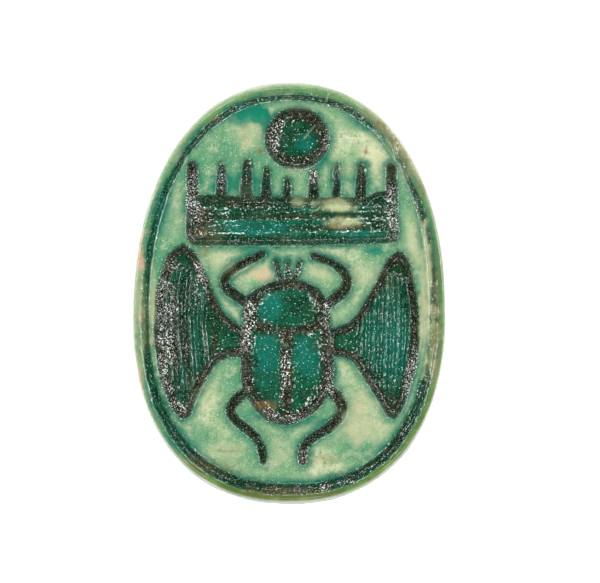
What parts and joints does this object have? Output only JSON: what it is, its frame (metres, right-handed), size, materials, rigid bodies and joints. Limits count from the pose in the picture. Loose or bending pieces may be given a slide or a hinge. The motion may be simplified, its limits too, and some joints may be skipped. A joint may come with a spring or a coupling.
{
  "type": "scarab amulet",
  "caption": "Small oval scarab amulet with a domed beetle back, a lengthwise thread hole and a flat carved underside, lying on its back.",
  "frame": {"origin": "middle of the outline at the level of the flat worn spot on the back, on which it lies", "axes": "+Z out of the carved face, +Y towards the beetle's head and the disc end of the carving, +X to the right of the carving as it is seen"},
  "size_m": [0.0134, 0.018, 0.0078],
  "materials": {
    "glazed_steatite": "gloss"
  },
  "bodies": {
    "root": {"scarab_amulet": "glazed_steatite"}
  },
  "joints": []
}
